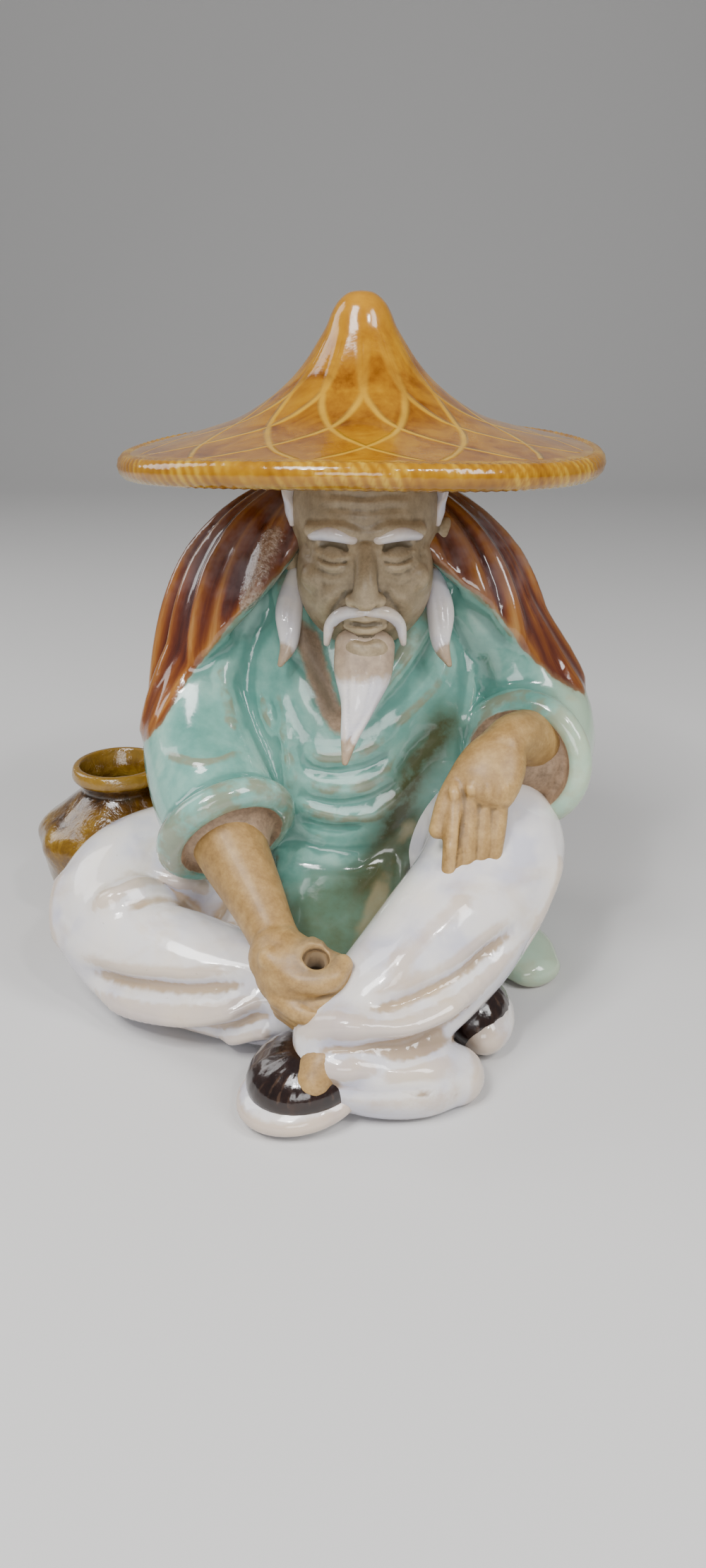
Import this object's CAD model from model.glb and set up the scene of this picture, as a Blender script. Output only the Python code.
import math
import bpy
import numpy as np
from mathutils import Euler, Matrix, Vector
from mathutils.bvhtree import BVHTree


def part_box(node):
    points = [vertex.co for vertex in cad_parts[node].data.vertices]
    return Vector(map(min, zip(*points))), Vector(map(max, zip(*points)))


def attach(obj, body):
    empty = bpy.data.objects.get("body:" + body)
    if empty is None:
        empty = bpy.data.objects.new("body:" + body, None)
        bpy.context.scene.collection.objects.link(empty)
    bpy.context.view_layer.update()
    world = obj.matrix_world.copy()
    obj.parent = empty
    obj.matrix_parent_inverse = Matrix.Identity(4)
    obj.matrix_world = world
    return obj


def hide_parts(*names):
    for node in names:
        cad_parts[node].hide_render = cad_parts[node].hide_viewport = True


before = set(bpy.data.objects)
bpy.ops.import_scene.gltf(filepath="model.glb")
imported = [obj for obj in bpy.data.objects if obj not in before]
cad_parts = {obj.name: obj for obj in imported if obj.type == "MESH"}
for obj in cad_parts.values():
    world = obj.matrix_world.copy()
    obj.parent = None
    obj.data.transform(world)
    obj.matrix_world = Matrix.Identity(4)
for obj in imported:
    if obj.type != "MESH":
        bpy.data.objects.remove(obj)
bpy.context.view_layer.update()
low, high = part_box("mudman")
bpy.ops.object.select_all(action="DESELECT")

# Everything is shaped in millimetres of a figure this tall, with the middle of its seat at x = 0, y = 0,
# and set into the frame at the end. SEAT is where that middle lies from the low corner of the solid's box.
HEIGHT = 180.0
SEAT = (97.35, 84.75)
UNIT = (high[2] - low[2]) / HEIGHT
ORIGIN = (low[0] + SEAT[0] * UNIT, low[1] + SEAT[1] * UNIT, low[2])

# The head's middle, chin and crown, and how far the hat sits to one side
MIDDLE = 3.0
CHIN, CROWN = 95, 151.0
HAT_SHIFT = 2.0
# Where the jar stands, and the hole through the right fist
JAR_PLACE = (-71, 27)
JAR_HEIGHT = 49
FIST_HOLE = (-8.6, -66.5, 37.5)
FIST_WAY = (0.04, -0.62, 0.78)
# The rolled cuffs: place, direction, radius and roll
CUFFS = [((-32.5, -28.5, 52.5), (0.42, -0.74, -0.5), 14.8, 4.3),
         ((45, -13.4, 66), (-0.5, -0.86, 0.1), 15, 4)]
# The clay left bare beside the beard
THROAT = [(-13.5, -8, 99), (-11, -9.7, 96), (-9.3, -12, 89), (-6.2, -13.8, 81)]
# Samples along a stroke. Face lines are cast back from IN_FRONT, and lie at FACE_DEPTH where they miss.
STEPS = 28
IN_FRONT = -90
FACE_DEPTH = -20


# Shapes

def unit(values):
    """Values held between 0 and 1."""
    return np.clip(values, 0, 1)


def turns(count):
    """Angles spread evenly around a circle."""
    return np.linspace(0, 2 * math.pi, count, endpoint=False)


def smooth_path(stations, count):
    """Samples of a Catmull-Rom curve through the stations, whatever their number of columns."""
    rows = np.asarray(stations, float)
    rows = np.vstack([2 * rows[0] - rows[1], rows, 2 * rows[-1] - rows[-2]])
    steps = np.linspace(0, len(rows) - 3 - 1e-9, count)
    first = steps.astype(int)
    part = (steps - first)[:, None]
    a, b, c, d = rows[first], rows[first + 1], rows[first + 2], rows[first + 3]
    return 0.5 * (2 * b + (c - a) * part + (2 * a - 5 * b + 4 * c - d) * part ** 2
                  + (3 * b - a - 3 * c + d) * part ** 3)


def new_piece(name, places, faces):
    mesh = bpy.data.meshes.new(name)
    mesh.from_pydata([tuple(p) for p in places], [], [tuple(f) for f in faces])
    piece = bpy.data.objects.new(name, mesh)
    bpy.context.collection.objects.link(piece)
    return piece


def skin_of(rings, closed=True):
    """Faces over a stack of rings with the same number of points, with both ends closed."""
    count, around = rings.shape[:2]
    faces = []
    for i in range(count - 1):
        for j in range(around if closed else around - 1):
            k = (j + 1) % around
            faces.append((i * around + j, i * around + k, (i + 1) * around + k, (i + 1) * around + j))
    if closed:
        faces.append(tuple(range(around - 1, -1, -1)))
        faces.append(tuple((count - 1) * around + j for j in range(around)))
    return faces


def loft(name, stack, closed=True):
    """A piece skinned over a stack of rings."""
    stack = np.array(stack)
    return new_piece(name, stack.reshape(-1, 3), skin_of(stack, closed))


def turned(name, profile, around):
    """A piece turned about the upright axis, from a profile of radius and height."""
    angle = turns(around)
    return loft(name, [np.stack([r * np.cos(angle), r * np.sin(angle), np.full(around, z)], 1)
                       for r, z in profile])


def limb(stations, rings=26, sides=24, flat=(0, 0, 1)):
    """A rounded limb. Each station is x, y, z, half width and half thickness."""
    rows = smooth_path([(*s, s[-1]) if len(s) == 4 else s for s in stations], rings)
    spine = rows[:, :3]
    run = np.gradient(spine, axis=0)
    run /= np.linalg.norm(run, axis=1)[:, None]
    across = np.cross(run, flat)
    across /= np.linalg.norm(across, axis=1)[:, None]
    over = np.cross(run, across)
    angle = turns(sides)
    stack = []

    def ring(i, shrink, beyond):
        centre = spine[i] + run[i] * beyond * min(rows[i, 3], rows[i, 4])
        stack.append(centre + np.outer(np.cos(angle) * rows[i, 3] * shrink, across[i])
                     + np.outer(np.sin(angle) * rows[i, 4] * shrink, over[i]))

    tips = [math.radians(t) for t in (80, 60, 40, 20)]
    for t in tips:
        ring(0, math.cos(t), -math.sin(t))
    for i in range(rings):
        ring(i, 1, 0)
    for t in reversed(tips):
        ring(rings - 1, math.cos(t), math.sin(t))
    return loft("limb", stack)


def ball(place, half, turn=(0, 0, 0)):
    """A sphere stretched to its half sizes, turned about X, Y and Z in degrees."""
    bpy.ops.mesh.primitive_uv_sphere_add(segments=32, ring_count=20, radius=1, location=place,
                                         rotation=[math.radians(t) for t in turn], scale=half)
    return bpy.context.object


def hoop(place, direction, radius, roll):
    """A rolled hem or a rim as a ring around a direction."""
    turn = Vector(direction).to_track_quat("Z", "Y").to_euler()
    bpy.ops.mesh.primitive_torus_add(location=place, rotation=turn, major_segments=48, minor_segments=16,
                                     major_radius=radius, minor_radius=roll)
    return bpy.context.object


def mound(levels):
    """A mass built up in level rings: z, middle y, half width, reach to the front, reach to the back."""
    sides = 96
    rows = smooth_path(levels, len(levels) * 6)
    angle = turns(sides)
    stack = []
    for z, middle, half, front, back in rows:
        reach = np.where(np.sin(angle) > 0, back, front)
        stack.append(np.stack([np.cos(angle) * half, middle + np.sin(angle) * reach, np.full(sides, z)], 1))
    return loft("mound", stack)


def apply_all(piece):
    bpy.context.view_layer.objects.active = piece
    for modifier in list(piece.modifiers):
        bpy.ops.object.modifier_apply(modifier=modifier.name)


def join(name, shapes):
    """One piece from several, with their places and turns written into it."""
    bpy.ops.object.select_all(action="DESELECT")
    for shape in shapes:
        shape.select_set(True)
    bpy.context.view_layer.objects.active = shapes[0]
    bpy.ops.object.transform_apply(location=True, rotation=True, scale=True)
    if len(shapes) > 1:
        bpy.ops.object.join()
    piece = bpy.context.object
    piece.name = name
    return piece


def clay(name, shapes, grain, rounds):
    """Shapes pressed into one skin with a grain in millimetres, then rubbed smooth for some rounds."""
    piece = join(name, shapes)
    remesh = piece.modifiers.new("remesh", "REMESH")
    remesh.mode = "VOXEL"
    remesh.voxel_size = grain
    remesh.use_smooth_shade = True
    apply_all(piece)
    rub(piece, rounds)
    return piece


def places_of(piece):
    co = np.empty(len(piece.data.vertices) * 3)
    piece.data.vertices.foreach_get("co", co)
    return co.reshape(-1, 3)


def normals_of(piece):
    no = np.empty(len(piece.data.vertices) * 3)
    piece.data.vertex_normals.foreach_get("vector", no)
    return no.reshape(-1, 3)


def set_places(piece, co):
    piece.data.vertices.foreach_set("co", np.ascontiguousarray(co, dtype=np.float32).ravel())
    piece.data.update()


def close_to(co, path, width):
    """Which places lie within three widths of the box around a path."""
    return np.where(((co > path.min(0) - 3 * width) & (co < path.max(0) + 3 * width)).all(1))[0]


def strokes(piece, lines):
    """Tool strokes: each line is its points, half width and lift, up as a fold or down as a groove."""
    co, no = places_of(piece), normals_of(piece)
    moved = np.zeros(len(co))
    index = np.arange(STEPS)
    ends = unit(np.minimum(index, STEPS - 1 - index) / 6.0 + 0.15)
    for points, width, lift in lines:
        path = smooth_path(points, STEPS)
        close = close_to(co, path, width)
        if not len(close):
            continue
        gap = ((co[close, None, :] - path[None]) ** 2).sum(2)
        best = gap.argmin(1)
        moved[close] += lift * ends[best] * np.exp(-gap[np.arange(len(close)), best] / width ** 2)
    set_places(piece, co + no * moved[:, None])


def near(co, points, width):
    """How close each place is to a line through the points, from 1 on it to 0 away from it."""
    path = smooth_path(points, STEPS)
    share = np.zeros(len(co))
    close = close_to(co, path, width)
    gap = ((co[close, None, :] - path[None]) ** 2).sum(2).min(1)
    share[close] = np.exp(-gap / width ** 2)
    return share


def note(piece, name, values):
    """Keeps one number per point under a name, for a material to read."""
    layer = piece.data.attributes.get(name) or piece.data.attributes.new(name, "FLOAT", "POINT")
    layer.data.foreach_set("value", np.clip(values, -10, 10).astype(np.float32))


def about(co, centre, direction):
    """How far each place lies along an axis from its centre, how far off it, and the axis."""
    axis = np.array(direction) / np.linalg.norm(direction)
    gap = co - np.array(centre)
    along = gap @ axis
    return along, np.linalg.norm(gap - along[:, None] * axis, axis=1), axis


def recess(piece, centre, direction, radius, depth, reach):
    """Presses a round hollow into the piece along a direction, deepest in the middle."""
    co = places_of(piece)
    along, off, axis = about(co, centre, direction)
    press = unit((radius - off) / 2.2) * unit((reach - np.abs(along)) / 2)
    press = press * press * (3 - 2 * press)
    set_places(piece, co - axis * (press * depth)[:, None])


def front_of(piece):
    return BVHTree.FromPolygons([v.co for v in piece.data.vertices],
                                [list(f.vertices) for f in piece.data.polygons])


def facing(tree, outline):
    """Points on a piece's front, from x and z as seen from the front."""
    found = []
    for x, z in outline:
        hit = tree.ray_cast(Vector((x, IN_FRONT, z)), Vector((0, 1, 0)))[0]
        found.append(tuple(hit) if hit else (x, FACE_DEPTH, z))
    return found


def rub(piece, rounds):
    """Rubs the clay smooth for some rounds."""
    smooth = piece.modifiers.new("rub", "SMOOTH")
    smooth.factor = 0.5
    smooth.iterations = rounds
    apply_all(piece)


def note_ridges(piece, rounds=14, scale=0.35):
    """Writes how far each point stands proud of its smoothed surroundings, for the glaze to read."""
    mesh = piece.data
    ends = np.empty(len(mesh.edges) * 2, int)
    mesh.edges.foreach_get("vertices", ends)
    ends = ends.reshape(-1, 2)
    co, no = places_of(piece), normals_of(piece)
    degree = np.bincount(ends.ravel(), minlength=len(co))[:, None]
    soft = co.copy()
    for _ in range(rounds):
        total = np.zeros_like(soft)
        for k in range(3):
            total[:, k] = (np.bincount(ends[:, 0], soft[ends[:, 1], k], len(co))
                           + np.bincount(ends[:, 1], soft[ends[:, 0], k], len(co)))
        soft = 0.3 * soft + 0.7 * total / np.maximum(degree, 1)
    proud = ((co - soft) * no).sum(1) / scale
    note(piece, "ridge", unit(0.5 + 0.5 * proud))


# Hat

def hat():
    profile = smooth_path([(0.01, 180.1), (3, 179.6), (5.4, 177.8), (7, 175.4), (8.4, 172.2), (10.4, 169),
                           (13.4, 164.6), (17.4, 160.1), (23.2, 155.4), (31, 151), (42, 147.6), (51, 145.3),
                           (58, 143.4), (58.8, 141), (57, 139.4), (46, 142.2), (30, 147.6), (18, 149),
                           (0.01, 149)], 64)
    crown = turned("hat", profile, 144)
    sides, around, twists, slant = 552, 12, 138, 3
    rope_reach, rope_height, rope_wide, rope_tall = 57.3, 141.2, 2.55, 2.95
    turn, a = turns(sides), turns(around)
    rings = []
    for t in turn:
        lump = 1 + 0.05 * np.cos(twists * t + slant * a) * (0.65 + 0.35 * np.sin(5 * t + 1) * np.sin(3 * t))
        r = rope_reach + rope_wide * np.cos(a) * lump
        z = rope_height + rope_tall * np.sin(a) * lump
        rings.append(np.stack([r * math.cos(t), r * math.sin(t), z], 1))
    grooves = np.cos(twists * turn[:, None] + slant * a)
    faces = []
    for i in range(sides):
        after = (i + 1) % sides
        for j in range(around):
            k = (j + 1) % around
            faces.append((i * around + j, after * around + j, after * around + k, i * around + k))
    rope = new_piece("rope", np.array(rings).reshape(-1, 3), faces)
    note(rope, "ridge", 0.5 + 0.5 * grooves.ravel())
    note(crown, "ridge", np.full(len(crown.data.vertices), 0.5))
    piece = join("hat", [crown, rope])
    co = places_of(piece)
    x, y = co[:, 0] / 60, co[:, 1] / 60
    co[:, 2] += -1.4 * y + 2.6 * y * y + 1.6 * np.maximum(0, (x + y) / math.sqrt(2)) ** 2
    co[:, 2] += 0.35 * np.sin(3 * np.arctan2(y, x) + 1) * (x * x + y * y)
    co[:, 0] += HAT_SHIFT
    set_places(piece, co)
    return piece


# Cape

CAPE_LEVELS = [(17, 15, 56.5, 40, 40), (30, 15, 58.5, 40, 40.5), (48, 15, 59, 40, 40),
               (66, 15, 58.3, 39, 38.5),
               (84, 15, 56, 37.5, 36.3), (101, 15, 51.5, 34, 33.4), (114, 15.5, 45.3, 29, 30),
               (124, 16, 37, 23.5, 26), (131, 16.5, 27.5, 18, 21), (136.5, 17, 15, 11, 13),
               (138, 17, 3, 3, 3)]


def cape():
    rows = smooth_path(CAPE_LEVELS, 70)
    edge_left = np.array([(17, 60), (60, 60), (69, 57.5), (76, 50.5), (89.5, 41.5), (102, 31.5), (113, 21),
                          (122, 14), (138, 9)])
    edge_right = np.array([(17, 62), (62, 62), (74, 61), (82, 53.5), (90, 45.5), (104, 37), (113, 27),
                           (122, 17), (138, 9)])
    columns = 150
    u = np.linspace(0, 1, columns)
    stack = []
    for z, middle, half, front, back in rows:
        left = np.interp(z, *edge_left.T)
        right = np.interp(z, *edge_right.T)
        start = -math.acos(min(1, right / half)) if right < half else 0.06
        stop = math.pi + (math.acos(min(1, left / half)) if left < half else -0.06)
        theta = start + (stop - start) * u
        reach = np.where(np.sin(theta) > 0, back, front)
        stack.append(np.stack([np.cos(theta) * half, middle + np.sin(theta) * reach, np.full(columns, z)], 1))
    sheet = loft("cape", stack, closed=False)
    thick = sheet.modifiers.new("wall", "SOLIDIFY")
    thick.thickness = 5.0
    thick.offset = -1
    apply_all(sheet)
    return sheet


# Robe and cape, one cloth-like skin

def cloth():
    levels = [(0.2, 14, 50, 30, 36), (24, 14, 51, 32, 36), (40, 13, 47, 30.5, 35), (60, 12, 43, 30, 33),
              (82, 12, 40, 26, 32),
              (104, 14, 32, 21, 28), (122, 14, 20, 13, 20), (127, 14, 12, 8, 12)]
    shapes = [
        cape(),
        mound(levels),
        limb([(-27, 8, 107, 11, 13), (-34, 7, 94, 13, 14), (-39.5, 3, 79, 15, 16), (-40.5, -6, 68, 16, 16),
              (-37.5, -17, 59.5, 16, 15.5), (-33.8, -25, 54.6, 16, 15)]),
        limb([(32, 8, 106, 12, 13), (40, 8, 92, 14, 14), (47, 6, 78, 15.8, 16), (50.5, -1, 69, 15.5, 16),
              (46.4, -7.4, 66.6, 16, 16)]),
        limb([(-3, -12, 44, 18, 3.4), (-3, -18, 35.6, 18.5, 3), (-3.5, -26, 31.2, 17, 2.8),
              (-5, -35, 28, 14.5, 2.4),
              (-7, -44, 24, 11, 2), (-9, -51, 19, 7, 1.6)], flat=(0, -0.8, 0.6)),
        limb([(34, 4, 6, 12, 7), (46, -8, 5, 12.5, 6), (52, -18, 3.6, 8, 4.6)]),
        limb([(-19.5, 6, 115, 4), (-16, -1, 106, 5), (-11.5, -8.6, 93, 3.4), (-4, -13, 80, 2.4)]),
        limb([(23.4, 3.4, 114, 4.4), (19.6, -0.6, 105, 4.6), (12.5, -8.8, 93, 3.4), (2, -13.4, 79, 2.4)]),
        *[hoop(*cuff) for cuff in CUFFS],
    ]
    piece = clay("cloth", shapes, 0.95, 12)
    pleat(piece)
    strokes(piece, [
        ([(-27, -11, 90), (-22, -11, 78), (-18, -14, 71), (-16, -15, 64), (-17, -15, 55)], 2.4, 1.7),
        ([(-24, -11, 86), (-20, -12, 75), (-19, -16, 66)], 1.6, -1),
        ([(-48, -22, 71), (-40, -27, 70), (-34, -26, 70), (-28, -21, 71)], 1.8, 1.1),
        ([(-48, -20, 67), (-40, -28, 66.5), (-30, -28, 66), (-22, -26, 66)], 1.5, -1),
        ([(-35, -6, 92), (-33, -12, 82), (-31, -18, 74)], 2.6, 1.2),
        ([(-42, -4, 84), (-43, -12, 76), (-40, -20, 70)], 2.4, 0.9),
        ([(-20, -8, 86), (-17, -12, 76), (-15, -15, 70)], 2, 1),
        ([(-14, -16, 71), (-7, -17, 68), (2, -17, 69.5), (10, -16, 74)], 2.4, 0.9),
        ([(-15, -16, 64), (-8, -17, 59.5), (-1, -18, 59), (6, -17, 61.5), (15, -16, 69)], 3, 0.7),
        ([(-15, -16, 56), (-9, -17, 52.5), (0, -18, 51), (8, -18, 53.5), (16, -16, 62)], 2.2, 1.2),
        ([(-13, -17, 47), (-7, -18, 44.2), (0, -18, 45), (11, -17, 53)], 2.6, 0.6),
        ([(-15, -16, 41), (-9, -17, 38.5), (-3, -18, 39.5)], 2, 0.9),
        ([(-14, -16, 65.5), (-6, -17, 64), (4, -17, 65.5), (10, -16, 69)], 1.4, -0.7),
        ([(-14, -16, 57), (-6, -17, 55.6), (4, -18, 57), (12, -17, 61)], 1.4, -0.7),
        ([(-14, -17, 49.5), (-6, -18, 48), (4, -18, 49.5)], 1.3, -0.6),
        ([(-16, -18, 35), (-8, -20, 34), (0, -20, 36), (7, -19, 41), (13, -17, 47), (18, -15, 54)], 2,
         -1.3),
        ([(26, -5, 96), (24, -8, 88), (16, -12, 80), (8, -15, 74)], 2.6, 1),
        ([(31, -1, 92), (31.5, -4, 82), (29, -9, 72)], 2, 1.4),
        ([(34, -3, 92), (36, -6, 84)], 2.2, -0.9),
        ([(11, -17, 62), (16, -15, 69), (23, -11, 74)], 2.4, -1),
        ([(66, 4, 74), (63, -6, 63), (58, -14, 54)], 2.2, 0.8),
        ([(64, 8, 66), (60, -2, 57), (55, -10, 51)], 1.8, -0.7),
        ([(52, -14, 82), (58, -6, 79), (63, 4, 74)], 2.4, 0.9),
        ([(-13, -9, 95), (-10, -12, 87), (-7, -14, 80)], 2.6, -1.6),
    ])
    for centre, direction, radius, _ in CUFFS:
        recess(piece, centre, direction, radius - 0.6, 2.6, 9)
    make_room(piece)
    rub(piece, 2)
    return piece


def make_room(piece):
    """Moves what would stand inside the jar out into the jar's wall."""
    co = places_of(piece)
    gap = co[:, :2] - np.array(JAR_PLACE)
    off = np.linalg.norm(gap, axis=1)
    wall = np.interp(co[:, 2], [0, 4, 12, 24, 33, 40, JAR_HEIGHT], [19, 20, 21.6, 22.9, 20.2, 11.5, 12])
    inside = (off < wall) & (co[:, 2] < JAR_HEIGHT)
    co[inside, :2] += gap[inside] / off[inside, None] * (wall - off)[inside, None]
    set_places(piece, co)


def dye_cloth(piece):
    """Where the cape's glaze, the bare clay and the shaded apron lie."""
    co = places_of(piece)
    x, y, z = co.T
    above = z - cape_edge(x)
    cape_side = np.where((y > 9) | (x < -61), 6, above)
    cape_side = np.where(z < 17, z - 17, cape_side)
    note(piece, "cape", np.clip(cape_side, -6, 6))
    bare = 0.95 * near(co, [*THROAT, (-3, -15, 76)], 3.6)
    for centre, direction, radius, roll in CUFFS:
        along, off, _ = about(co, centre, direction)
        bare = np.maximum(bare, unit((radius - 0.25 * roll - off) / 1.4 + 0.5) * (np.abs(along) < 11))
    note(piece, "bare", unit(bare))
    hem = np.interp(x, [-20, -11, -4, 3, 10, 16], [33, 37, 37.5, 39, 46, 52])
    note(piece, "shade", unit((hem - z) / 5 + 0.4) * (y < -12) * (np.abs(x) < 24))
    stain = near(co, [(24, -11, 74), (18, -14, 66), (14, -16, 58), (12, -17, 50), (9, -19, 42),
                      (4, -24, 35)], 6.5)
    throat = near(co, THROAT, 3.4)
    note(piece, "stain", np.maximum(1.35 * stain, throat))
    note(piece, "edge", near(co, [(15, -17, 47), (10, -22, 39), (6, -30, 31), (3, -38, 26), (0, -46, 22)], 3))
    note(piece, "crust", near(co, [(-20.5, -5, 123), (-23.5, -8.5, 115), (-26, -11, 107)], 3.4))


def dye_trousers(piece):
    """The hem and the ankle, where the glaze stops."""
    co = places_of(piece)
    hem = near(co, [(-15, -70, 13), (-12, -80, 13.4), (-4, -83, 12.6), (4, -83, 11.5), (14, -82, 11),
                    (24, -76, 7)], 1.6)
    ankle = 1.4 * near(co, [(-17, -68, 18), (-14, -76, 15.5), (-10, -80.5, 14), (-5, -82, 13)], 2.2)
    note(piece, "bare", unit(0.85 * hem + ankle))


def dye_arms(piece):
    """The darker clay in the fist's hole and round its rim."""
    along, off, _ = about(places_of(piece), FIST_HOLE, FIST_WAY)
    inside = unit((3.1 - off) / 0.8) * (np.abs(along) < 16)
    rim = 0.5 * np.exp(-((off - 4.4) / 1.6) ** 2) * (np.abs(along) < 4)
    note(piece, "bare", np.maximum(inside, rim))


def dye_hair(piece):
    """The tips of the beard and the locks, and the beard's ragged root, where the glaze stops."""
    co = places_of(piece)
    tips = near(co, [(-1.6, -29, 75), (-2, -29.5, 71)], 3.4)
    for s in (-1, 1):
        tips = np.maximum(tips, near(co, [at(s * 20.6, -13.5, 0), at(s * 21.6, -14.2, -0.06)], 3.4))
    root = unit((co[:, 2] - 87) / 11) * (co[:, 2] < up(0.155)) * (np.abs(co[:, 0] - MIDDLE) < 7.8)
    note(piece, "bare", unit(tips + 1.2 * root))


def cape_edge(x):
    """Height of the cape's front edge over the shoulder at x, seen from the front."""
    xs = [-62, -57, -50, -41, -31, -20, -12, 0, 14, 27, 37, 45, 53, 61, 66]
    zs = [62, 69, 76, 89.5, 102, 113, 122, 130, 121, 112, 104, 93, 86, 81, 79]
    return np.interp(x, xs, zs)


def pleat(piece):
    """Straw pleats that sweep from the neck over the shoulders and back, fading out at the front edge."""
    co, no = places_of(piece), normals_of(piece)
    x, y, z = co.T
    rows = smooth_path(CAPE_LEVELS, 200)
    middle, half, front, back = (np.interp(z, rows[:, 0], rows[:, k]) for k in (1, 2, 3, 4))
    reach = np.where(y > middle, back, front)
    theta = np.arctan2((y - middle) / reach, x / half)
    outside = np.hypot(x / half, (y - middle) / reach)
    above = z - cape_edge(x)
    outer = unit((outside - 0.9) / 0.06)
    on_cape = unit((above + 1) / 3) * outer
    on_cape = np.where((y > 9) & (z > 18), np.maximum(on_cape, outer), on_cape)
    on_cape *= unit((z - 17) / 5)
    around = np.where(theta < -math.pi / 2, theta + 2 * math.pi, theta)
    swirl = around + 0.0032 * (137 - z) * np.cos(around)
    fold = (0.95 * np.abs(np.sin(9.5 * swirl + 0.5 * np.sin(0.05 * z + 2 * swirl))) ** 0.7
            + 0.45 * np.sin(27 * swirl + 0.6 + 0.02 * z) + 0.35 * np.sin(12 * swirl + 2.1) - 0.45)
    lift = on_cape * fold * 1.45 * np.clip((140 - z) / 24, 0.15, 1)
    note(piece, "swirl", swirl)
    set_places(piece, co + no * lift[:, None])


def trousers():
    right = limb([(-14, 14, 18, 20, 20), (-40, 4, 24, 21, 22), (-60, -9, 23, 21.5, 22),
                  (-63, -22, 19.5, 17, 18),
                  (-50, -33, 16.5, 14.5, 16.5), (-34, -40, 14.5, 14, 15), (-16, -45, 12.5, 12, 13.5),
                  (4, -46, 11, 11, 11.5),
                  (20, -46, 10, 10, 10)], rings=60, sides=40)
    left = limb([(18, 14, 22, 20, 20), (31, -4, 36, 20, 21), (37.5, -21, 44.5, 18.5, 19),
                 (33, -34, 38.5, 18, 18.5),
                 (22, -48.5, 30.5, 17.5, 18), (9.5, -60.5, 22.5, 15.5, 16), (-1.5, -69.5, 17.5, 13, 13)],
                rings=50, sides=40)
    flare = limb([(-5, -71.5, 12, 10, 10.5), (7, -71.5, 9.5, 11, 11), (17, -69.5, 7.5, 11, 10),
                  (24.5, -67.5, 5.5, 8, 7.5)])
    lap = limb([(-22, -20, 14, 16, 16), (0, -24, 15, 16, 16), (16, -19, 17, 14, 15)])
    piece = clay("trousers", [right, left, flare, lap], 0.95, 12)
    strokes(piece, [
        ([(-68, -32, 30), (-61, -32, 36), (-54, -26, 36), (-45, -22, 34), (-38, -19, 29)], 3.5, 3.5),
        ([(-60, -34, 32), (-50, -30, 30), (-40, -25, 25)], 3, -3.1),
        ([(-72, -30, 17), (-62, -42, 15), (-50, -48, 17), (-38, -52, 19), (-24, -56, 24)], 3.2, -4),
        ([(-70, -30, 10), (-58, -42, 9), (-45, -50, 11), (-33, -54, 14), (-22, -56, 18)], 3.7, 3.7),
        ([(-56, -42, 4), (-40, -50, 7), (-28, -55, 12), (-20, -57, 15)], 2.7, -2.7),
        ([(-34, -50, 5), (-26, -56, 9), (-20, -57, 11)], 2.7, 2.8),
        ([(2, -76, 28), (10, -74, 29), (17, -71, 30), (25, -66, 32), (33, -61, 35), (41, -54, 38)], 3, -4.2),
        ([(-10, -72, 23), (-2, -77, 26), (5, -78, 27), (13, -75, 26), (21, -70, 27), (31, -63, 30)], 3.5,
         3.4),
        ([(-11, -76, 19), (-4, -80, 21.5), (4, -80, 21.5), (13, -77, 20), (21, -70, 20), (27, -66, 22)],
         2.7, -3.9),
        ([(-10, -80, 16), (-3, -82, 17), (6, -82, 16.5), (16, -79, 15), (24, -74, 13)], 2.6, 0.5),
        ([(-12, -80, 14.5), (-4, -82, 12.6), (4, -82, 11.5), (13, -81, 11.5), (22, -78, 10)], 1.4, -0.6),
        ([(6, -70, 34), (18, -62, 41), (30, -52, 48)], 4.4, 1.6),
        ([(44, -52, 34), (51, -42, 42), (54, -34, 50)], 3.8, 1.5),
        ([(42, -50, 28), (49, -42, 34), (53, -34, 40)], 2.7, -2.2),
        ([(-79, -14, 34), (-80, -22, 26), (-78, -28, 16)], 4, 1.9),
    ])
    rub(piece, 3)
    return piece


def shoes():
    shapes = [ball((-11.4, -71.4, 9.2), (14.4, 13.3, 8.7), (0, -10, 25)),
              ball((32, -45.5, 9), (8.6, 11.4, 8.8), (0, 0, -10))]
    piece = clay("shoes", shapes, 0.5, 4)
    co, no = places_of(piece), normals_of(piece)
    pleats = np.zeros(len(co))
    for x, y, count in ((-10, -74, 26), (31, -44, 22)):
        gap = co[:, :2] - np.array((x, y))
        off = np.hypot(*gap.T)
        turn = np.arctan2(gap[:, 1], gap[:, 0])
        gathers = np.cos(count * turn + 0.12 * off + 1.3 * np.sin(3 * turn))
        reach = (off < 16) * unit((off - 2.2) / 2.5) * unit((co[:, 2] - 7) / 3)
        co += no * (0.05 * gathers * reach)[:, None]
        pleats += gathers * reach
    set_places(piece, co)
    note(piece, "swirl", pleats)
    return piece


def soles():
    shapes = [ball((-12.2, -72.4, 5), (16.2, 14.2, 5.4), (0, -8, 25)),
              ball((34.2, -46, 7), (7.6, 12.4, 7.6), (0, 18, -10))]
    return clay("soles", shapes, 0.8, 3)


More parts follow.
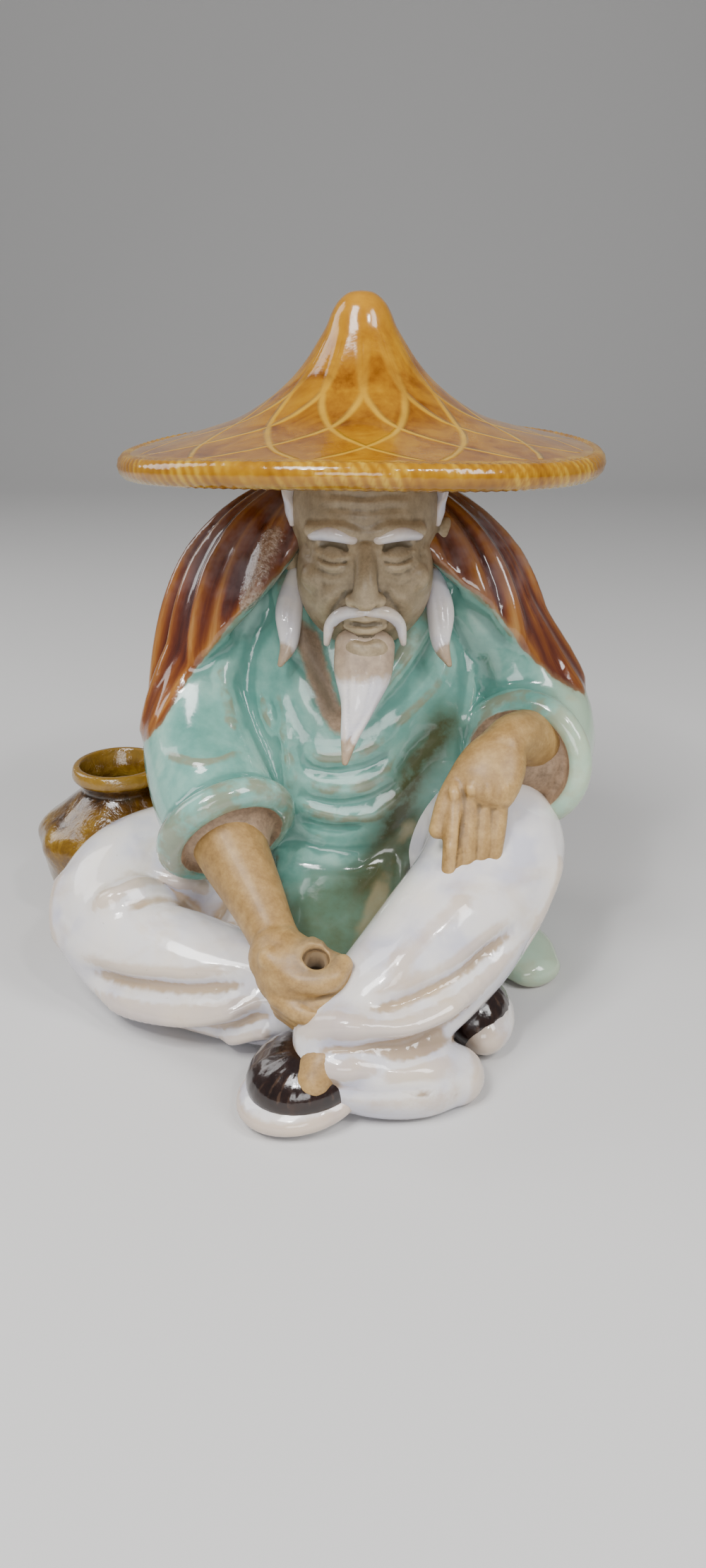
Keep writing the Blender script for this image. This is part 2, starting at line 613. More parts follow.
def arms():
    right = [
        limb([(-36, -24, 56, 10), (-30.5, -34, 49, 9.2, 9.4), (-24.5, -44.5, 42.5, 7.4, 7.8),
              (-19.5, -54, 36.5, 6, 6.6),
              (-17, -59, 33.5, 6.8, 7.4)]),
        limb([(-17.5, -60, 34, 7.5, 8), (-14.5, -62.5, 32, 9, 9.4), (-9.5, -64, 30.5, 8.6, 9.2),
              (-6, -64.5, 30, 6.8, 7.6)]),
        limb([(-19, -65, 36.5, 3.4), (-12.5, -69.5, 33.5, 3.3), (-5.5, -70, 34, 3), (-2.5, -66, 35.5, 2.6)]),
    ] + [limb([(-17.4 + i * 0.5, -68.5 + i * 1.9, 28.5 - i * 3.1, 2.8),
               (-10.5 + i * 0.4, -72.4 + i * 2.3, 26.5 - i * 3.2, 2.9),
               (-3 - i * 0.4, -69.4 + i * 2, 28 - i * 3.1, 2.6)]) for i in range(3)]
    fingers = [limb([(x, -37.6 + i * 0.6, top, 2.7, 2.5),
                     (x * 0.55 + tip_x * 0.45, -44.6 + i, top * 0.52 + tip * 0.48, 2.45),
                     (tip_x, -48.2 + i * 1.3, tip, 2)], flat=(1, 0, 0))
               for i, (x, top, tip_x, tip) in enumerate([(25, 67.8, 23.2, 46.2), (28.8, 68.6, 26.8, 43.8),
                                                        (32.5, 68.8, 30.5, 45.4), (36, 69.2, 34, 50)])]
    left = [
        limb([(54, -2, 67, 8.6), (47.5, -13, 71.5, 8.4), (40.6, -24, 75.8, 6.5),
              (37, -29.6, 75.4, 6.2, 5.8)]),
        limb([(37.4, -28.6, 75.6, 6.2, 5.6), (35.2, -32.4, 73.4, 8, 5.4), (32.8, -36, 70.4, 8.8, 4.8),
              (31.4, -38, 67.6, 8.4, 4)], flat=(0, -0.5, 0.86)),
        limb([(28, -33.4, 71.4, 3.4), (23.4, -38.2, 65.4, 2.9), (20.8, -41.8, 58.8, 2.4)]),
    ]
    ankle = limb([(-2, -71, 17, 6.4), (-6.6, -76, 15.4, 5.6), (-9, -79.4, 13, 4.4)])
    piece = clay("arms", right + left + fingers + [ankle], 0.5, 4)
    between = [([(x - 0.2, -43, 64), (x - 1, -47.4, 56), (x - 2, -50, 46.5)], 0.7, -0.9) for x in (26.9,
                                                                                                   30.7,
                                                                                                   34.3)]
    curled = [([(-17, -66.5 + i * 2.1, 30.2 - i * 3.3), (-10, -73.5 + i * 2.2, 28.4 - i * 3.4),
                (-4, -72 + i * 2.2, 29 - i * 3.3)], 0.7, -0.8) for i in range(3)]
    knuckles = [([(x - 1.2, -40.6, z), (x + 1.2, -40.6, z + 0.3)], 1.5, 0.7) for x, z in
                ((24.4, 68), (28.6, 68.6), (32.8, 68.8), (36.6, 69.2))]
    knuckles += [([(x - 1, -47.4, z), (x + 1, -47.4, z + 0.2)], 1.2, 0.45) for x, z in
                 ((23.3, 56.4), (27.5, 56), (31.8, 57), (35.7, 59.6))]
    strokes(piece, between + curled + knuckles)
    bore(piece)
    return piece


def bore(piece):
    """The hole through the fist, with a worn mouth."""
    way = Vector(FIST_WAY).normalized()
    turn = way.to_track_quat("Z", "Y").to_euler()
    for radius, far, near_end in ((2.3, -13, 8), (3.3, -2.5, 8)):
        middle = Vector(FIST_HOLE) + way * (far + near_end) / 2
        bpy.ops.mesh.primitive_cylinder_add(vertices=40, radius=radius, depth=near_end - far, location=middle,
                                            rotation=turn)
        tool = bpy.context.object
        cut = piece.modifiers.new("bore", "BOOLEAN")
        cut.operation = "DIFFERENCE"
        cut.object = tool
        apply_all(piece)
        bpy.data.objects.remove(tool)


def up(share):
    """Height of a share of the head, from the chin to the crown."""
    return CHIN + share * (CROWN - CHIN)


def at(x, y, share, *sizes):
    """A station on the head: distance from its middle, depth, share of its height and sizes."""
    return (MIDDLE + x, y, up(share), *sizes)


def head():
    shapes = [
        ball(at(0, 2, 0.62), (19.5, 22.5, 23), (8, 0, 0)),
        ball(at(0, -6.5, 0.34), (17.4, 16, 19.5), (10, 0, 0)),
        ball(at(0, -19.5, 0.05), (6.5, 4.6, 4.6)),
        limb([(0, 16, 98, 15), (1, 7, 110, 13.5), (MIDDLE, 2, 122, 12)], flat=(0, 1, 0)),
        limb([at(0, -20.5, 0.5, 2.2, 1.8), at(0, -24, 0.37, 2.8, 2.8), at(0, -24.6, 0.29, 3.6, 2.4)],
             flat=(0, 1, 0)),
    ]
    for s in (-1, 1):
        shapes += [
            ball(at(s * 20.2, 1.6, 0.43), (2.9, 5, 8.2), (8, s * 8, -s * 24)),
            ball(at(s * 10.4, -14.8, 0.36), (5.6, 4.4, 4.6)),
            ball(at(s * 3.1, -23.4, 0.29), (2, 2.4, 1.8)),
        ]
    shapes += [
        limb([at(-13, -13.8, 0.56, 2.2), at(-6, -18.2, 0.575, 2.6), at(0, -18.6, 0.56, 2.2),
              at(6, -18.2, 0.575, 2.6), at(13, -13.8, 0.56, 2.2)]),
        limb([at(-4.4, -20, 0.165, 1.2), at(0, -22, 0.155, 1.9), at(4.4, -20, 0.165, 1.2)]),
        limb([at(-4.6, -20.2, 0.2, 1.2), at(0, -22, 0.2, 1.7), at(4.6, -20.2, 0.2, 1.2)]),
    ]
    piece = clay("head", shapes, 0.42, 7)
    carve_face(piece, [
        ([(4.2, 0.49), (8, 0.5), (12, 0.48)], 3.2, -1.5),
        ([(5, 0.45), (8.4, 0.445), (11.6, 0.45)], 2.6, 1),
    ])
    lines = [
        ([(3.4, 0.475), (5.6, 0.505), (8.6, 0.515), (12.6, 0.485)], 0.8, -0.75),
        ([(3.8, 0.455), (6, 0.448), (8.8, 0.444), (12.4, 0.458)], 0.6, -0.75),
        ([(4, 0.47), (8.4, 0.483), (12, 0.47)], 1.5, 0.45),
        ([(4.4, 0.415), (8.2, 0.39), (12.2, 0.415)], 0.9, -0.55),
        ([(5.2, 0.37), (8.8, 0.345), (12.4, 0.365)], 0.8, -0.3),
        ([(13.2, 0.47), (15.2, 0.49)], 0.6, -0.35),
        ([(13.2, 0.455), (15.4, 0.45)], 0.6, -0.35),
        ([(4.4, 0.33), (6.4, 0.28), (8.6, 0.21), (9.6, 0.15)], 1.1, -0.8),
        ([(7.2, 0.31), (10.4, 0.27), (12, 0.2)], 1.6, 0.4),
        ([(2, 0.262), (2.9, 0.262)], 0.8, -0.9),
    ]
    carve_face(piece, lines)
    across = [
        ([(-4.4, 0.176), (-2, 0.18), (0, 0.177), (2, 0.18), (4.4, 0.176)], 0.65, -1),
        ([(-3, 0.125), (0, 0.118), (3, 0.125)], 1.2, -0.7),
        ([(-11, 0.655), (-6, 0.668), (0, 0.66), (6, 0.668), (11, 0.655)], 0.9, -0.42),
        ([(-11.5, 0.71), (-6, 0.722), (0, 0.716), (6, 0.722), (11.5, 0.71)], 0.9, -0.42),
        ([(-10.5, 0.765), (-5, 0.775), (0, 0.77), (5, 0.775), (10.5, 0.765)], 0.9, -0.35),
    ]
    tree = front_of(piece)
    strokes(piece, [(facing(tree, [(MIDDLE + x, up(share)) for x, share in line]), width, lift)
                    for line, width, lift in across])
    for s in (-1, 1):
        strokes(piece, [([at(s * 22, -1.5, 0.5), at(s * 22.6, -0.5, 0.42), at(s * 22, 0, 0.34)], 1.6, -1.4)])
    rub(piece, 1)
    return piece


def carve_face(piece, lines):
    """Strokes given on one half of the face, as distance from the middle and share of the head's height."""
    tree = front_of(piece)
    both = []
    for line, width, lift in lines:
        for s in (-1, 1):
            both.append((facing(tree, [(MIDDLE + s * x, up(share)) for x, share in line]), width, lift))
    strokes(piece, both)


def hair():
    shapes = [limb([at(0, -18.2, 0.07, 7.6, 4.6), (2.4, -21.8, 92, 7.2, 4.4), (1.2, -25.5, 85, 4.4, 3.6),
                    (-0.8, -28.3, 78, 2.4, 2.1), (-2, -29.5, 71.5, 0.9)], flat=(0, 1, 0))]
    for s in (-1, 1):
        shapes += [
            limb([at(s * 3, -19.6, 0.54, 1.5), at(s * 8, -18.8, 0.56, 1.9), at(s * 13, -14.8, 0.54, 1.3)]),
            limb([at(s * 1, -22.6, 0.235, 1.3), at(s * 5.4, -21, 0.222, 1.7), at(s * 8.6, -18.4, 0.16, 1.5),
                  at(s * 9.6, -17.6, 0.07, 0.9)]),
            limb([at(s * 17.4, -2.4, 0.8, 2.2, 4.4), at(s * 18.8, -4.4, 0.66, 1.5, 3),
                  at(s * 18.2, -6, 0.56, 0.8)]),
            limb([at(s * 18, -0.5, 0.3, 2.6, 2.8), at(s * 19.4, -7, 0.17, 3.6, 3.2),
                  at(s * 19.4, -12, 0.04, 2.4, 2.1), at(s * 21.6, -14, -0.05, 0.8)], flat=(0, 1, 0)),
        ]
    piece = clay("hair", shapes, 0.45, 3)
    wisps = [([(MIDDLE + x, -25, 96), (2 + x * 0.8, -27.5, 88), (x * 0.3, -30, 80), (-1.6, -31, 75)], 0.7,
              -0.5)
             for x in (-4.4, -2.2, 0, 2.2, 4.4)]
    for s in (-1, 1):
        wisps += [([at(s * (19 + x), -6, 0.3), at(s * (20.4 + x), -12, 0.14), at(s * 20.6, -15, 0.02)],
                   0.6, -0.5) for x in (-1.6, 0, 1.6)]
    strokes(piece, wisps)
    return piece


def jar():
    profile = smooth_path([(0.01, 0.2), (17, 0.2), (21, 7), (23.7, 16), (24.5, 24), (23.4, 30.5),
                           (18, 35.5), (12, 40.5),
                           (11.8, 43), (14, 45.4), (13.7, 48.2), (12.4, 49), (11.2, 47.8), (9.6, 40),
                           (17, 34), (21, 24),
                           (18, 10), (15, 4.6), (0.01, 4.5)], 110)
    piece = turned("jar", profile, 96)
    co = places_of(piece)
    turn = np.arctan2(co[:, 1], co[:, 0])
    r = np.hypot(co[:, 0], co[:, 1])
    outer = np.exp(-((co[:, 2] - 27) / 4.6) ** 2) * (r > 21.5)
    lump = outer * (1.6 * np.abs(np.sin(4.5 * turn)) ** 1.5 + 0.5)
    co[:, 0] += np.cos(turn) * lump
    co[:, 1] += np.sin(turn) * lump
    co[:, :2] += np.array(JAR_PLACE)
    set_places(piece, co)
    return piece


pieces = {make.__name__: make() for make in (hat, cloth, trousers, shoes, soles, arms, head, hair, jar)}

DYES = {"cloth": dye_cloth, "trousers": dye_trousers, "arms": dye_arms, "hair": dye_hair}

# How many triangles each piece keeps of its finely worked skin.
SHARES = {"hat": 27000, "cloth": 62000, "trousers": 26000, "shoes": 8000, "soles": 3000, "arms": 22000,
          "head": 28000,
          "hair": 13000, "jar": 8000}


def thin(piece, target):
    """Brings a piece down to its number of triangles."""
    count = sum(len(p.vertices) - 2 for p in piece.data.polygons)
    if count <= target:
        return
    decimate = piece.modifiers.new("thin", "DECIMATE")
    decimate.ratio = target / count
    apply_all(piece)


# Shader maths

class Signal:
    """A socket's output that can be reckoned with like a number."""

    def __init__(self, tree, out):
        self.tree = tree
        self.out = out

    def reckon(self, operation, first, second=0):
        return node(self.tree, "ShaderNodeMath", {"operation": operation}, {0: first, 1: second})

    def __add__(self, other):
        return self.reckon("ADD", self, other)

    __radd__ = __add__

    def __mul__(self, other):
        return self.reckon("MULTIPLY", self, other)

    __rmul__ = __mul__

    def __sub__(self, other):
        return self.reckon("SUBTRACT", self, other)

    def __rsub__(self, other):
        return self.reckon("SUBTRACT", other, self)

    def __truediv__(self, other):
        return self.reckon("DIVIDE", self, other)

    def __pow__(self, other):
        return self.reckon("POWER", self, other)


def feed(tree, socket, value):
    """Links a signal into a socket, or sets the socket's value, where three numbers can be a colour."""
    if isinstance(value, Signal):
        tree.links.new(value.out, socket)
    elif isinstance(value, tuple) and len(value) == 3 and socket.type == "RGBA":
        socket.default_value = (*value, 1)
    else:
        socket.default_value = value


def node(tree, kind, settings=None, inputs=None, out=0):
    """One node: its settings first, then the values or links of its sockets, by name or number."""
    made = tree.nodes.new(kind)
    for key, value in (settings or {}).items():
        if key == "stops":
            ramp = made.color_ramp
            while len(ramp.elements) < len(value):
                ramp.elements.new(0.5)
            for element, (stop, colour) in zip(ramp.elements, value):
                element.position = stop
                element.color = (*colour, 1)
        else:
            setattr(made, key, value)
    for key, value in (inputs or {}).items():
        feed(tree, made.inputs[key], value)
    return Signal(tree, made.outputs[out])


class Glaze:
    """A material in the making, with the patterns that the finishes share."""

    def __init__(self, name):
        self.material = bpy.data.materials.new(name)
        self.material.use_nodes = True
        self.tree = self.material.node_tree
        self.shader = self.tree.nodes["Principled BSDF"]
        spot = node(self.tree, "ShaderNodeTexCoord", out=3)
        moved = node(self.tree, "ShaderNodeVectorMath", {"operation": "SUBTRACT"}, {0: spot, 1: ORIGIN})
        self.place = node(self.tree, "ShaderNodeVectorMath", {"operation": "SCALE"},
                          {0: moved, "Scale": 1 / UNIT})

    def axes(self):
        split = node(self.tree, "ShaderNodeSeparateXYZ", {}, {0: self.place}).out.node
        return [Signal(self.tree, split.outputs[k]) for k in range(3)]

    def kept(self, name):
        return node(self.tree, "ShaderNodeAttribute", {"attribute_name": name}, out=2)

    def noise(self, size, detail=3, rough=0.55, bend=0, place=None):
        """Noise with lumps about as wide as the size in millimetres."""
        return node(self.tree, "ShaderNodeTexNoise", {},
                    {"Vector": place or self.place, "Scale": 1 / size, "Detail": detail, "Roughness": rough,
                     "Distortion": bend})

    def step(self, value, start, stop):
        return node(self.tree, "ShaderNodeMapRange", {"interpolation_type": "SMOOTHSTEP"},
                    {"Value": value, "From Min": start, "From Max": stop})

    def mix(self, share, first, second):
        """A share of the second colour over the first."""
        return node(self.tree, "ShaderNodeMix", {"data_type": "RGBA"}, {0: share, 6: first, 7: second}, out=2)

    def ramp(self, value, stops):
        return node(self.tree, "ShaderNodeValToRGB", {"stops": stops}, {0: value})

    def vector(self, x, y, z):
        return node(self.tree, "ShaderNodeCombineXYZ", {}, {0: x, 1: y, 2: z})

    def finish(self, colour, rough, height, depth, coat, coat_rough):
        """Ends the material, with bumps as deep as the depth in millimetres."""
        bump = node(self.tree, "ShaderNodeBump", {},
                    {"Strength": 1, "Distance": depth * UNIT, "Height": height})
        feeds = {"Base Color": colour, "Roughness": rough, "Coat Weight": coat, "Coat Roughness": coat_rough,
                 "Specular IOR Level": 0.5, "Normal": bump}
        for name, value in feeds.items():
            feed(self.tree, self.shader.inputs[name], value)
        return self.material


# Finishes

def straw_glaze():
    """Honey amber over scale-like straw, paler on the raised lines and greenish on the rope edge."""
    g = Glaze("straw_glaze")
    x, y, z = g.axes()
    x = x - HAT_SHIFT
    reach = (x * x + y * y) ** 0.5
    around = x.reckon("ARCTAN2", x, y * -1) * (180 / math.pi)
    warp = g.noise(16, 2) - 0.5
    row = x.reckon("MAXIMUM", (reach - 20) / 12.3, (reach - 20) / 30)
    straws = 360 / 13  # Degrees between two lines
    lines = None
    for lean in (-0.5, 0.5):
        turn = (around - 1.2 + warp * 3) / straws + row * lean
        gap = x.reckon("PINGPONG", turn, 0.5)
        wide = gap * reach * math.radians(straws)
        line = 1 - g.step(wide, 0.25, 1.4)
        lines = line if lines is None else x.reckon("MAXIMUM", lines, line)
    on_top = g.step(z, 142.3, 143.4) * (0.22 + 0.78 * g.step(reach, 13, 27)) * (1 - g.step(reach, 54, 55))
    on_top = on_top * g.step(reach, 8, 12)
    lines = lines * on_top * (0.35 + 0.9 * g.noise(9, 2))
    cloud = g.noise(11, 4, 0.6, 0.6)
    fine = g.noise(2.2, 3, 0.6)
    body = g.ramp(cloud * 0.8 + fine * 0.2, [
        (0.3, (0.115, 0.03, 0.0004)), (0.43, (0.235, 0.083, 0.0006)), (0.58, (0.34, 0.145, 0.001)),
        (0.76, (0.43, 0.215, 0.004))])
    body = g.mix(lines * 0.72, body, (0.62, 0.37, 0.03))
    rope = g.step(reach, 54.2, 55.6)
    ridge = g.kept("ridge")
    twist = g.step(ridge + (fine - 0.5) * 0.6, 0, 1) * (0.06 + 0.26 * g.step(g.noise(13, 2), 0.42, 0.62))
    rope_tone = g.ramp(twist + (g.noise(7, 3) - 0.5) * 1.1 + 0.38, [
        (0.1, (0.18, 0.06, 0.001)), (0.5, (0.33, 0.15, 0.003)), (0.9, (0.54, 0.34, 0.03))])
    low_green = (1 - g.step(z, 139, 141.5)) * rope
    colour = g.mix(rope, body, rope_tone)
    colour = g.mix(low_green * 0.5, colour, (0.36, 0.31, 0.03))
    knob = g.step(z, 168, 179)
    colour = g.mix(knob * 0.4, colour, (0.55, 0.27, 0.02))
    height = lines * 0.8 + cloud * 0.35 + fine * 0.05
    return g.finish(colour, 0.1 + g.noise(5, 3) * 0.1, height, 0.55, 0.25, 0.04)


def cloth_glaze():
    """Celadon robe that pools blue-green, brown where it runs thin, and the streaked brown cape."""
    pale_green, rim_tan = (0.47, 0.57, 0.4), (0.3, 0.25, 0.15)
    g = Glaze("cloth_glaze")
    x, y, z = g.axes()
    ridge = g.kept("ridge")
    cloud = g.noise(17, 4, 0.55, 0.4)
    fine = g.noise(3.2, 4, 0.6)
    pits = g.noise(0.9, 2)
    tone = cloud * 0.75 + fine * 0.25
    robe = g.ramp(tone, [
        (0.28, (0.075, 0.235, 0.195)), (0.45, (0.145, 0.34, 0.285)), (0.58, (0.225, 0.43, 0.36)),
        (0.74, (0.36, 0.54, 0.45))])
    pool = 1 - g.step(ridge, 0.28, 0.5)
    robe = g.mix(pool * 0.6, robe, (0.05, 0.175, 0.145))
    thin_edge = g.step(ridge + (fine - 0.5) * 0.2, 0.7, 0.92)
    robe = g.mix(thin_edge * g.step(g.noise(6, 3), 0.36, 0.6) * 0.7, robe, (0.22, 0.19, 0.11))
    pale = g.step(x, 46, 60) * (1 - g.step(y, 4, 12))
    robe = g.mix(pale * 0.7, robe, pale_green)
    corner = g.step(x, 34, 42) * (1 - g.step(z, 10, 15)) * (1 - g.step(y, 2, 8))
    robe = g.mix(corner * 0.6, robe, pale_green)
    robe = g.mix(g.kept("shade") * (0.65 + 0.4 * fine), robe, (0.062, 0.088, 0.048))
    dark = g.kept("stain")
    robe = g.mix(dark * (0.75 + 0.7 * (fine - 0.5)), robe, (0.052, 0.06, 0.03))

    swirl = g.kept("swirl")
    streak = g.noise(1, 4, 0.6, 0.3, g.vector(swirl * 7.5, z * 0.022, y * 0.008))
    thread = g.noise(1, 3, 0.6, 0.2, g.vector(swirl * 32, z * 0.05, 3))
    brown = streak * 0.75 + thread * 0.15 + ridge * 0.35 - 0.12
    straw = g.ramp(brown, [
        (0.34, (0.046, 0.01, 0.007)), (0.46, (0.1, 0.022, 0.009)), (0.56, (0.165, 0.045, 0.01)),
        (0.66, (0.26, 0.095, 0.018)), (0.82, (0.42, 0.22, 0.065))])
    wash = g.step(z, 96, 118) * g.step(g.noise(9, 3), 0.35, 0.7)
    straw = g.mix(wash * 0.5, straw, (0.26, 0.19, 0.19))
    edge = g.kept("cape") + (g.noise(5, 3) - 0.5) * 3.2
    worn = g.step(edge, -1.5, 0.1) * (1 - g.step(edge, 0.1, 1.7))
    colour = g.mix(g.step(edge, -0.35, 0.35), robe, straw)
    colour = g.mix(worn * 0.3, colour, rim_tan)
    bare = g.step(g.kept("bare") + (fine - 0.5) * 0.4, 0.35, 0.65)
    clay_tone = g.ramp(fine * 0.6 + pits * 0.4, [(0.3, (0.17, 0.11, 0.066)), (0.7, (0.4, 0.27, 0.17))])
    edge_tan = g.step(g.kept("edge") + (fine - 0.5) * 0.4, 0.25, 0.7)
    colour = g.mix(edge_tan * 0.5, colour, rim_tan)
    colour = g.mix(bare, colour, clay_tone)
    colour = g.mix(bare * dark * 0.8, colour, (0.105, 0.075, 0.048))
    crust = g.step(g.kept("crust") + (g.noise(1.6, 3) - 0.5) * 0.9, 0.35, 0.75)
    colour = g.mix(crust * 0.7, colour, g.ramp(pits, [(0.35, (0.2, 0.13, 0.09)), (0.6, (0.42, 0.34, 0.27))]))
    foot = 1 - g.step(z + (g.noise(6, 3) - 0.5) * 3, 0.6, 2.2)
    colour = g.mix(foot * 0.7, colour, (0.42, 0.36, 0.26))
    rough = 0.1 + g.noise(6, 3) * 0.08 + bare * 0.45
    height = cloud * 0.5 + fine * 0.1 + (bare * 0.3 + crust * 0.9) * pits
    return g.finish(colour, rough, height, 0.5, 0.5 - 0.5 * bare, 0.03)


def white_glaze(name="white_glaze", lavender=0.6, tan=0.8):
    """Thick white glaze, bluish where it lies deep and tan where it runs off an edge."""
    g = Glaze(name)
    x, y, z = g.axes()
    ridge = g.kept("ridge")
    cloud = g.noise(15, 3, 0.5, 0.4)
    fine = g.noise(2.6, 4, 0.6)
    body = g.ramp(cloud, [(0.32, (0.58, 0.57, 0.64)), (0.5, (0.74, 0.71, 0.7)), (0.7, (0.8, 0.745, 0.68))])
    deep = g.step(g.kept("under") * 0.7 + g.noise(20, 3, 0.5, 0.4) * 0.6 + (0.5 - ridge) * 0.5, 0.42, 0.9)
    body = g.mix(deep * lavender, body, (0.43, 0.43, 0.56))
    crease = 1 - g.step(ridge + (g.noise(5, 3) - 0.5) * 0.4, 0, 0.36)
    body = g.mix(crease * 0.95 * tan, body, (0.39, 0.25, 0.105))
    thin_edge = g.step(ridge + (fine - 0.5) * 0.25, 0.74, 0.96)
    body = g.mix(thin_edge * 0.6 * tan, body, (0.5, 0.34, 0.19))
    stained = g.step(g.noise(19, 4, 0.6, 0.6, g.vector(x, y, z * 2)), 0.48, 0.76)
    body = g.mix(stained * 0.42 * tan, body, (0.56, 0.4, 0.2))
    bare = g.step(g.kept("bare") + (fine - 0.5) * 0.5, 0.35, 0.7)
    body = g.mix(bare * 0.85, body, g.ramp(fine, [(0.3, (0.22, 0.135, 0.065)), (0.7, (0.42, 0.29, 0.165))]))
    soot = g.step(g.noise(1.1, 2), 0.7, 0.76) * g.step(g.noise(14, 2), 0.5, 0.62)
    body = g.mix(soot * 0.35, body, (0.35, 0.28, 0.2))
    height = cloud * 0.45 + fine * 0.08
    return g.finish(body, 0.09 + g.noise(7, 3) * 0.08 + bare * 0.3, height, 0.5, 0.5, 0.03)


def bare_clay(name, dark, middle, light, rough=0.36):
    """Unglazed clay with a burnished sheen, darker in its grooves and grainy."""
    g = Glaze(name)
    ridge = g.kept("ridge")
    cloud = g.noise(8, 4, 0.6, 0.4)
    grain = g.noise(0.7, 3, 0.65)
    fine = g.noise(2.2, 3, 0.6)
    colour = g.ramp(cloud * 0.5 + fine * 0.3 + grain * 0.2, [(0.34, dark), (0.5, middle), (0.66, light)])
    grime = 1 - g.step(ridge + (fine - 0.5) * 0.15, 0.12, 0.45)
    colour = g.mix(grime * 0.7, colour, tuple(0.38 * c for c in dark))
    rubbed = g.step(ridge + (grain - 0.5) * 0.3, 0.6, 0.92)
    colour = g.mix(rubbed * 0.4, colour, tuple(min(1, 1.35 * c) for c in light))
    bare = g.kept("bare")
    colour = g.mix(bare * 0.7, colour, (0.16, 0.13, 0.1))
    return g.finish(colour, rough + grain * 0.16 - rubbed * 0.06, grain * 0.3 + fine * 0.4 + cloud * 0.2,
                    0.14, 0.12, 0.3)


def shoe_glaze():
    """Near-black brown glaze over gathered cloth shoes, tan on the raised gathers."""
    g = Glaze("shoe_glaze")
    fine = g.noise(1.6, 4, 0.6)
    cloud = g.noise(6, 3)
    colour = g.ramp(cloud * 0.6 + fine * 0.4, [
        (0.3, (0.006, 0.003, 0.003)), (0.55, (0.018, 0.008, 0.006)), (0.75, (0.045, 0.02, 0.012))])
    raised = g.step(g.kept("swirl") + (fine - 0.5) * 1.6, 0.3, 1) * g.step(g.noise(5, 2), 0.4, 0.65)
    colour = g.mix(raised * 0.6, colour, (0.075, 0.042, 0.026))
    return g.finish(colour, 0.1 + fine * 0.1, fine * 0.3 + cloud * 0.4, 0.3, 0.5, 0.04)


def jar_glaze():
    """Runny amber-brown glaze over a lumpy thrown jar."""
    g = Glaze("jar_glaze")
    z = g.axes()[2]
    ridge = g.kept("ridge")
    cloud = g.noise(7, 4, 0.6, 0.8)
    fine = g.noise(2, 4, 0.6)
    colour = g.ramp(cloud * 0.6 + fine * 0.2 + ridge * 0.3, [
        (0.4, (0.018, 0.007, 0.001)), (0.54, (0.075, 0.03, 0.002)), (0.68, (0.16, 0.08, 0.005)),
        (0.84, (0.33, 0.2, 0.025))])
    lip = g.step(z, 44, 47)
    colour = g.mix(lip * 0.5, colour, (0.33, 0.19, 0.025))
    return g.finish(colour, 0.1 + fine * 0.1, cloud * 0.8 + fine * 0.2, 0.8, 0.5, 0.04)


FINISHES = {
    "hat": straw_glaze(),
    "cloth": cloth_glaze(),
    "trousers": white_glaze(),
    "shoes": shoe_glaze(),
    "soles": white_glaze("sole_glaze", 0.2, 1),
    "arms": bare_clay("hand_clay", (0.2, 0.108, 0.032), (0.315, 0.185, 0.06), (0.44, 0.28, 0.105), 0.42),
    "head": bare_clay("face_clay", (0.19, 0.14, 0.078), (0.3, 0.23, 0.138), (0.41, 0.32, 0.2)),
    "hair": white_glaze("hair_glaze", 0.55, 0.7),
    "jar": jar_glaze(),
}
for name, piece in pieces.items():
    piece.data.materials.clear()
    piece.data.materials.append(FINISHES[name])
    piece.data.shade_smooth()
    if name != "hat":
        note_ridges(piece)
    thin(piece, SHARES[name])
    note(piece, "under", 0.5 - 0.5 * normals_of(piece)[:, 2])
    if name in DYES:
        DYES[name](piece)

mudman = join("mudman_figure", list(pieces.values()))
co = places_of(mudman)
co[:, 2] = np.maximum(co[:, 2], 0)
set_places(mudman, co * UNIT + np.array(ORIGIN))
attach(mudman, "root")
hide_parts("mudman")

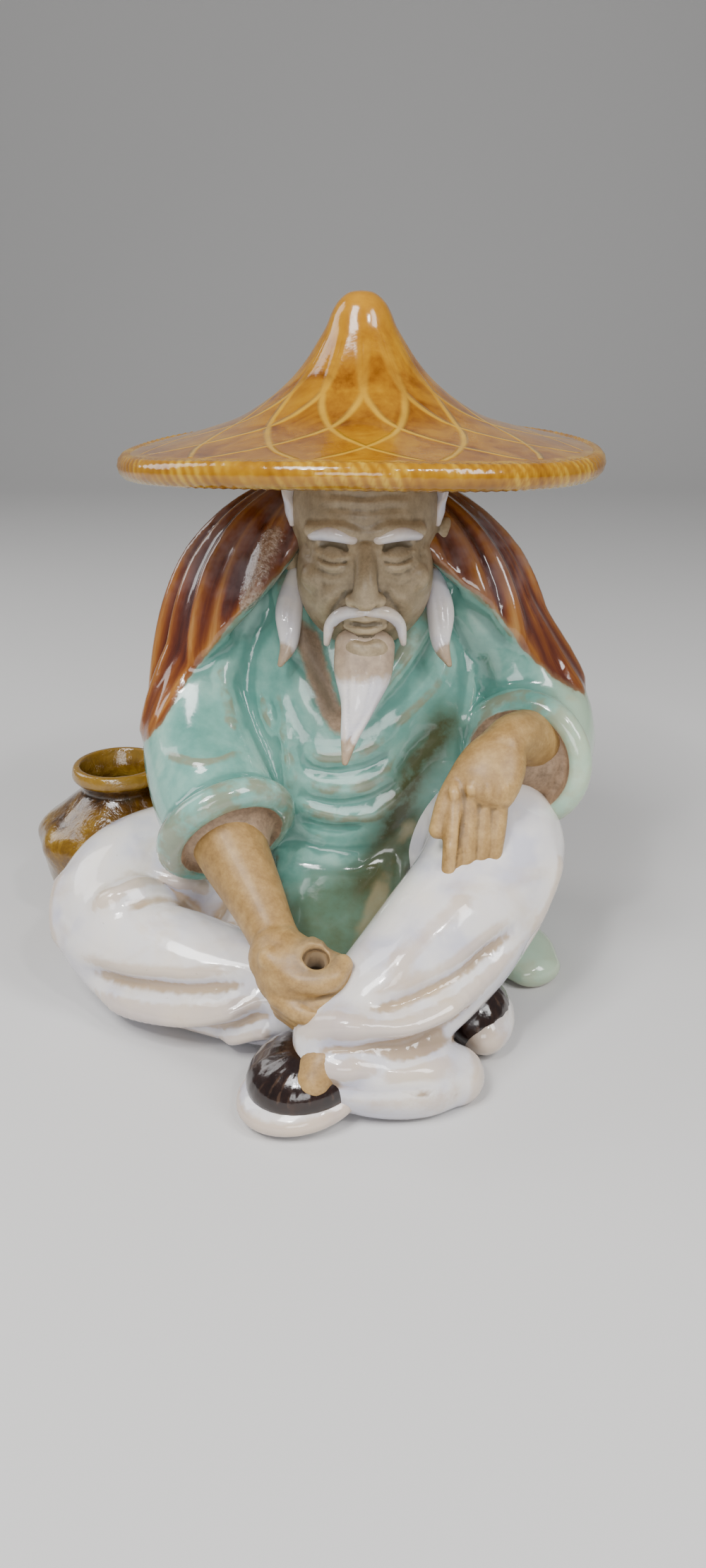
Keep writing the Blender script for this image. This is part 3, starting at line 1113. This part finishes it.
# Floor, lights and camera
BEND_START = 0.9
BEND = 0.6
sweep = [(y, 0) for y in np.linspace(-2, BEND_START, 12)]
sweep += [(BEND_START + BEND * math.sin(t), BEND - BEND * math.cos(t))
          for t in np.linspace(0.08, math.pi / 2, 20)]
sweep += [(1.5, 2.4)]
level = low[2] - 0.0001
floor = loft("floor", [[(x, y, level + z) for x in np.linspace(-3, 3, 13)] for y, z in sweep], closed=False)
floor.data.shade_smooth()
paper = bpy.data.materials.new("paper")
paper.use_nodes = True
paper_inputs = paper.node_tree.nodes["Principled BSDF"].inputs
paper_inputs["Base Color"].default_value = (0.62, 0.61, 0.6, 1)
paper_inputs["Roughness"].default_value = 0.8
floor.data.materials.append(paper)


AIM = Vector((0, 0, 0.08))


def softbox(place, width, height, power):
    """A soft rectangular lamp that points at the figure, in metres and watts."""
    data = bpy.data.lights.new("softbox", "AREA")
    data.shape = "RECTANGLE"
    data.size = width
    data.size_y = height
    data.energy = power
    lamp = bpy.data.objects.new("softbox", data)
    lamp.location = place
    lamp.rotation_euler = (AIM - Vector(place)).to_track_quat("-Z", "Y").to_euler()
    bpy.context.collection.objects.link(lamp)


softbox((-0.3, -0.45, 0.85), 0.34, 0.34, 7.5)
softbox((0.55, -0.35, 0.6), 0.2, 0.45, 3.8)
softbox((-0.6, 0.25, 0.5), 0.3, 0.5, 1.9)
softbox((-0.05, -0.8, 0.3), 0.4, 0.25, 2)
softbox((-0.22, -0.5, 0.62), 0.06, 0.06, 1.3)
softbox((0.3, -0.45, 0.66), 0.06, 0.06, 1.3)
world = bpy.data.worlds.new("studio")
world.use_nodes = True
sky = world.node_tree.nodes["Background"].inputs
sky["Color"].default_value = (0.9, 0.92, 0.95, 1)
sky["Strength"].default_value = 0.22
bpy.context.scene.world = world

# The camera's focal length and the photo's height in pixels, and its place in millimetres of the figure
FOCAL, PHOTO_HEIGHT = 1617, 2222
SENSOR = 36
CAMERA_PLACE = (0, -294, 178)
CAMERA_TILT = 67
camera_data = bpy.data.cameras.new("camera")
camera_data.sensor_width = SENSOR
camera_data.lens = FOCAL / PHOTO_HEIGHT * SENSOR
camera = bpy.data.objects.new("camera", camera_data)
camera.location = Vector(CAMERA_PLACE) * UNIT + Vector(ORIGIN)
camera.rotation_euler = Euler((math.radians(CAMERA_TILT), 0, 0))
bpy.context.collection.objects.link(camera)
bpy.context.scene.camera = camera
